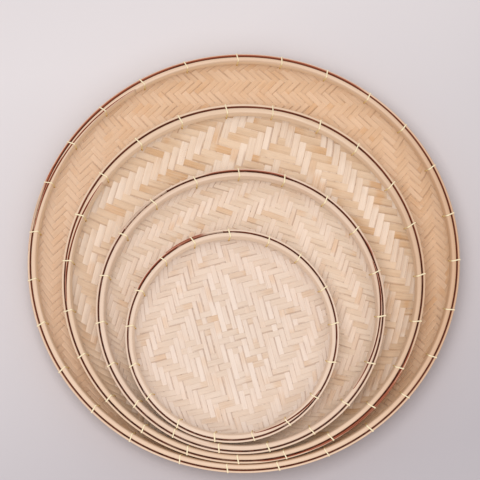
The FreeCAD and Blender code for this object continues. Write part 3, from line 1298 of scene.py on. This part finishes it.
@dataclass(frozen=True)
class RimTies:
    """The ties of one rim.

    Attributes:
        shape: The tray's sizes.
        finish: Finish of the cane.
        seed: Seed of their uneven spacing.
    """

    shape: TrayShape
    finish: CaneFinish
    seed: int

    # The band, its clearance from the rim, its slant, the length of its corners, how unevenly the
    # ties are spaced, and the share of the loop that lies on the inner face.
    WIDTH = 0.95 * MM
    THICKNESS = 0.36 * MM
    CLEAR = 0.04 * MM
    SLANT = 1.1 * MM
    CORNER = 0.55 * MM
    UNEVEN = math.radians(0.9)
    INNER_SHARE = 0.32

    def loop(self) -> list[tuple[float, float]]:
        """Path of a tie's middle round the rim, as radius and height.

        Returns:
            Points from the lower inside corner, up, over the rim, down, and back through the mat.
        """
        shape = self.shape
        off = self.CLEAR + self.THICKNESS / 2
        tilt = math.tan(RIM_FLARE)
        corners = [(RIM_WIDTH + off, OUTER_DEPTH + off), (RIM_WIDTH + off, -off),
                   (-off, -off), (-off, OUTER_DEPTH + off)]
        places = [(shape.radius - x - d * tilt, shape.height - d) for x, d in corners]
        path = []
        for k, here in enumerate(places):
            before, after = places[k - 1], places[(k + 1) % 4]
            start = self.towards(here, before)
            end = self.towards(here, after)
            for s in (0.0, 0.25, 0.5, 0.75, 1.0):
                path.append(tuple(
                    (1 - s) ** 2 * start[n] + 2 * s * (1 - s) * here[n] + s * s * end[n]
                    for n in (0, 1)))
        return path

    def towards(self, here: tuple[float, float], there: tuple[float, float]) -> tuple[float, float]:
        """A point one corner's length from here towards there."""
        share = self.CORNER / math.dist(here, there)
        return (here[0] + (there[0] - here[0]) * share, here[1] + (there[1] - here[1]) * share)

    def tie(self) -> bpy.types.Mesh:
        """One tie at bearing 0, about the tray's own middle.

        Returns:
            A closed flat band.
        """
        path = self.loop()
        count = len(path)
        half, thick = self.WIDTH / 2, self.THICKNESS / 2
        section = [(-1.0, 0.0), (-0.7, 1.0), (0.7, 1.0), (1.0, 0.0), (0.7, -1.0), (-0.7, -1.0)]
        verts, along, across, low = [], [], [], []
        travelled = 0.0
        for i, (r, z) in enumerate(path):
            before, after = path[i - 1], path[(i + 1) % count]
            run = math.dist(before, after)
            normal = ((after[1] - before[1]) / run, -(after[0] - before[0]) / run)
            if i:
                travelled += math.dist(path[i - 1], path[i])
            drop = (self.shape.height - z) / OUTER_DEPTH
            slant = self.SLANT * (drop - 0.5) * (1 if i < count / 2 else -1)
            inner = 1.0 if i < count * self.INNER_SHARE else 0.0
            for across_share, thick_share in section:
                verts.append((r - normal[0] * thick * thick_share, slant + half * across_share,
                              z - normal[1] * thick * thick_share))
                along.append(travelled)
                across.append(across_share * half)
                low.append(max(0.0, drop) * inner)
        mesh = bpy.data.meshes.new("tie")
        mesh.from_pydata(verts, [], join_rings(len(section), count, closed=True))
        keep_numbers(mesh, along=along, across=across, low=low)
        mesh.shade_smooth()
        return mesh

    def build(self, tree: TieTree) -> bpy.types.Object:
        """Sets the ties round the rim.

        Args:
            tree: The tree that repeats a tie.

        Returns:
            All the ties as one piece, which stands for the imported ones.
        """
        shape = self.shape
        piece = grow(f"cane_ties_{shape.label}", tree, {
            "Ties": shape.ties,
            "Start": math.radians(shape.tie_start),
            "Uneven": self.UNEVEN,
            "Middle": shape.centre,
            "Seed": self.seed,
            "Material": self.finish.material(),
        }, self.tie())
        shape.settle(piece.data)
        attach(piece, f"tray_{shape.label}")
        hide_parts(f"hoop_ties_{shape.label}")
        return piece


# ---- Studio ----


@dataclass(frozen=True)
class Lamp:
    """A soft square light.

    Attributes:
        name: Its name.
        place: Where it hangs.
        target: What it points at.
        size: Length of its side.
        power: Its power in watts.
        colour: Its colour.
    """

    name: str
    place: tuple[float, float, float]
    target: tuple[float, float, float]
    size: float
    power: float
    colour: tuple[float, float, float]

    def hang(self) -> None:
        """Puts the light in the scene."""
        light = bpy.data.lights.new(self.name, "AREA")
        light.shape = "SQUARE"
        light.size = self.size
        light.energy = self.power
        light.color = self.colour
        lamp = show(self.name, light)
        lamp.location = self.place
        aim = Vector(self.target) - Vector(self.place)
        lamp.rotation_euler = aim.to_track_quat("-Z", "Y").to_euler()


@dataclass(frozen=True)
class Studio:
    """Pale floor with painted shade, soft light and the camera.

    Attributes:
        elevation: Height of the view above the horizon, in degrees.
        distance: Distance from the camera to what it aims at.
        lens: Length of the lens in millimetres.
        target: What the camera aims at.
        floor: Finish of the floor.
        lamps: The lights.
        sky: Colour of the light from all round.
        sky_strength: Strength of that light.
    """

    elevation: float
    distance: float
    lens: float
    target: tuple[float, float, float]
    floor: FloorFinish
    lamps: tuple[Lamp, ...]
    sky: Colour
    sky_strength: float

    FLOOR_HALF = 2.5

    def lay_floor(self) -> None:
        """Lays the floor under the trays."""
        h = self.FLOOR_HALF
        mesh = bpy.data.meshes.new("studio_floor")
        corners = [(-h, -h, 0.0), (h, -h, 0.0), (h, h, 0.0), (-h, h, 0.0)]
        mesh.from_pydata(corners, [], [(0, 1, 2, 3)])
        mesh.materials.append(self.floor.material())
        floor = show("studio_floor", mesh)

    def light(self) -> None:
        """Hangs the lights and sets the light from all round."""
        for lamp in self.lamps:
            lamp.hang()
        world = bpy.data.worlds.new("studio")
        world.use_nodes = True
        back = world.node_tree.nodes["Background"]
        back.inputs["Color"].default_value = self.sky
        back.inputs["Strength"].default_value = self.sky_strength
        bpy.context.scene.world = world
        bpy.context.scene.view_settings.view_transform = "Standard"

    def place_camera(self) -> None:
        """Places the camera."""
        data = bpy.data.cameras.new("camera")
        data.sensor_width = 36.0
        data.lens = self.lens
        data.clip_start, data.clip_end = 0.05, 20.0
        camera = show("camera", data)
        lift = math.radians(self.elevation)
        back = Vector((0.0, -math.cos(lift), math.sin(lift)))
        camera.location = Vector(self.target) + back * self.distance
        camera.rotation_euler = (-back).to_track_quat("-Z", "Y").to_euler()
        bpy.context.scene.camera = camera

    def build(self) -> None:
        """Sets up the whole studio."""
        self.lay_floor()
        self.light()
        self.place_camera()


# ---- The set ----


@dataclass(frozen=True)
class Tray:
    """One tray: mat, two hoops and ties.

    Attributes:
        mat: The mat.
        hoop_finish: Finish of both hoops.
        cane: Finish of the ties.
    """

    mat: WovenMat
    hoop_finish: HoopFinish
    cane: CaneFinish

    def build(self, mat_tree: MatTree, tie_tree: TieTree) -> list[bpy.types.Object]:
        """Builds every piece of the tray.

        Args:
            mat_tree: The tree that lays splints.
            tie_tree: The tree that repeats a tie.

        Returns:
            The pieces.
        """
        shape = self.mat.shape
        pieces = self.mat.build(mat_tree)
        pieces += [Hoop(shape, side, self.hoop_finish).build() for side in Side]
        pieces.append(RimTies(shape, self.cane, self.mat.seed).build(tie_tree))
        return pieces


def shapes() -> dict[str, TrayShape]:
    """Sizes and places of the four trays.

    Returns:
        Each tray's shape, under its size name.
    """
    made = [
        TrayShape(
            label="12in", diameter=304.8 * MM, height=26 * MM, bend=26 * MM,
            centre=(0.0, 0.0, 0.0), bearing=270.0, inner_lap=Lap(147, 50), outer_lap=Lap(166, 24),
            open_gap=((50, 165),), ties=27, tie_start=359.0, wide=-0.1 * MM, far=-2.0 * MM,
            wobble=((2, 60.0, 0.4 * MM, 0.3 * MM), (3, 20.0, 0.3 * MM, 0.3 * MM))),
        TrayShape(
            label="10in", diameter=254 * MM, height=25 * MM, bend=25 * MM,
            centre=(0.0, -18.979 * MM, 1.3 * MM), bearing=270.0,
            inner_lap=Lap(166, 42), outer_lap=Lap(310, 40),
            open_gap=((270, 343),), ties=23, tie_start=2.0, wide=1.0 * MM, far=4.4 * MM,
            wobble=((2, 160.0, 0.4 * MM, 0.3 * MM), (3, 90.0, 0.6 * MM, 0.2 * MM))),
        TrayShape(
            label="8in", diameter=203.2 * MM, height=24 * MM, bend=24 * MM,
            centre=(-1.984 * MM, -37.853 * MM, 2.6 * MM), bearing=264.0,
            inner_lap=Lap(352, 56), outer_lap=Lap(137, 30),
            open_gap=((15, 35), (65, 110)), ties=19, tie_start=356.0, wide=-0.2 * MM, far=0.8 * MM,
            wobble=((2, 30.0, 0.4 * MM, 0.3 * MM), (3, 130.0, 0.3 * MM, 0.2 * MM))),
        TrayShape(
            label="6in", diameter=152.4 * MM, height=22 * MM, bend=21 * MM,
            centre=(-8.044 * MM, -55.454 * MM, 3.9 * MM), bearing=251.0,
            inner_lap=Lap(305, 44), outer_lap=Lap(112, 34),
            open_gap=((100, 160),), ties=17, tie_start=6.0, wide=-1.4 * MM, far=-1.2 * MM,
            wobble=((2, 110.0, 0.35 * MM, 0.2 * MM), (3, 10.0, 0.25 * MM, 0.2 * MM))),
    ]
    return {shape.label: shape for shape in made}


def splint_finish(name: str, plain: tuple[int, int, int], spread: float,
                  seed: float) -> SplintFinish:
    """Works out the tones of one set of splints from its usual colour.

    Args:
        name: Name of the material.
        plain: Colour of most splints, in 0 to 255 steps.
        spread: How far the other tones lie from it.
        seed: Number that tells this set from the others.

    Returns:
        The finish.
    """
    def tone(red: int, green: int, blue: int) -> Colour:
        """The usual colour, shifted by some steps."""
        return srgb(*(min(250, base + shift * spread)
                      for base, shift in zip(plain, (red, green, blue))))
    return SplintFinish(name, tone(5, 7, 9), srgb(*plain), tone(-5, -11, -17),
                        tone(-6, -20, -36), srgb(112, 52, 26), seed)


def trays() -> list[Tray]:
    """Works out the four trays.

    Returns:
        The trays, largest first.
    """
    # Brown skin of the hoops' gap: a lit copy, and a darker copy for its painted shade.
    lit_skin, skin = srgb(168, 88, 58), srgb(98, 48, 30)
    cane = CaneFinish("split_cane", top=srgb(248, 232, 194), side=srgb(234, 206, 142),
                      hole_shade_and_lines=srgb(200, 148, 66))
    # Face, light, deep and low colour of each tray's hoops, and how ruddy their gap is. Deep also
    # gives the painted shade towards +X, and low the painted light on the lower faces.
    hoops = {
        "12in": ((222, 188, 158), (234, 206, 180), (200, 154, 114), (235, 200, 160), 1.35),
        "10in": ((220, 187, 156), (232, 205, 179), (196, 151, 112), (235, 205, 172), 1.1),
        "8in": ((219, 188, 162), (233, 208, 186), (196, 154, 120), (235, 208, 182), 0.9),
        "6in": ((222, 193, 168), (236, 213, 192), (200, 160, 128), (236, 212, 188), 1.1),
    }
    # Turn of the weft in degrees, pitch of warp and weft in mm, their usual colours, how far the
    # tones of the splints spread, and the seed of their small differences.
    mats = {
        "12in": (45.0, 4.3, 4.3, (234, 201, 167), (231, 196, 160), 0.8, 11),
        "10in": (-14.5, 5.2, 5.3, (235, 213, 190), (225, 196, 164), 1.7, 23),
        "8in": (-19.0, 4.0, 4.0, (234, 212, 191), (228, 205, 181), 1.3, 37),
        "6in": (15.0, 3.9, 4.4, (232, 212, 195), (226, 204, 184), 1.0, 41),
    }
    made = []
    for place, (label, shape) in enumerate(shapes().items()):
        *colours, ruddy = hoops[label]
        hoop = HoopFinish(f"hoop_{label}", *(srgb(*colour) for colour in colours), lit_skin, skin,
                          ruddy, seed=place + 1.0)
        turn, warp_pitch, weft_pitch, warp, weft, spread, seed = mats[label]
        mat = WovenMat(shape, turn, warp_pitch * MM, weft_pitch * MM,
                       splint_finish(f"warp_{label}", warp, spread, 2 * place + 1.0),
                       splint_finish(f"weft_{label}", weft, spread, 2 * place + 2.0), seed)
        made.append(Tray(mat, hoop, cane))
    return made


def studio() -> Studio:
    """Works out the floor, lights and camera.

    Returns:
        The studio.
    """
    warm_white = (1.0, 0.98, 0.97)
    return Studio(
        elevation=77.0, distance=1.25, lens=132.1, target=(-0.0025, 0.0130, 0.02),
        floor=FloorFinish("pale_floor", near=srgb(228, 222, 223), far=srgb(188, 182, 186)),
        lamps=(Lamp("key", place=(-0.13, -0.08, 1.10), target=(0.0, -0.02, 0.0), size=0.6,
                    power=5.6, colour=warm_white),
               Lamp("fill", place=(0.2, -0.6, 1.3), target=(0.0, 0.0, 0.0), size=1.0,
                    power=3.8, colour=warm_white)),
        sky=srgb(240, 238, 240), sky_strength=0.58)


def main() -> None:
    """Builds the set and the studio."""
    logging.basicConfig(level=logging.INFO, format="%(name)s: %(message)s")
    mat_tree, tie_tree = MatTree(), TieTree()
    for tray in trays():
        for piece in tray.build(mat_tree, tie_tree):
            LOG.info("%s: %d faces", piece.name, len(piece.data.polygons))
    studio().build()


if __name__ == "__main__":
    main()
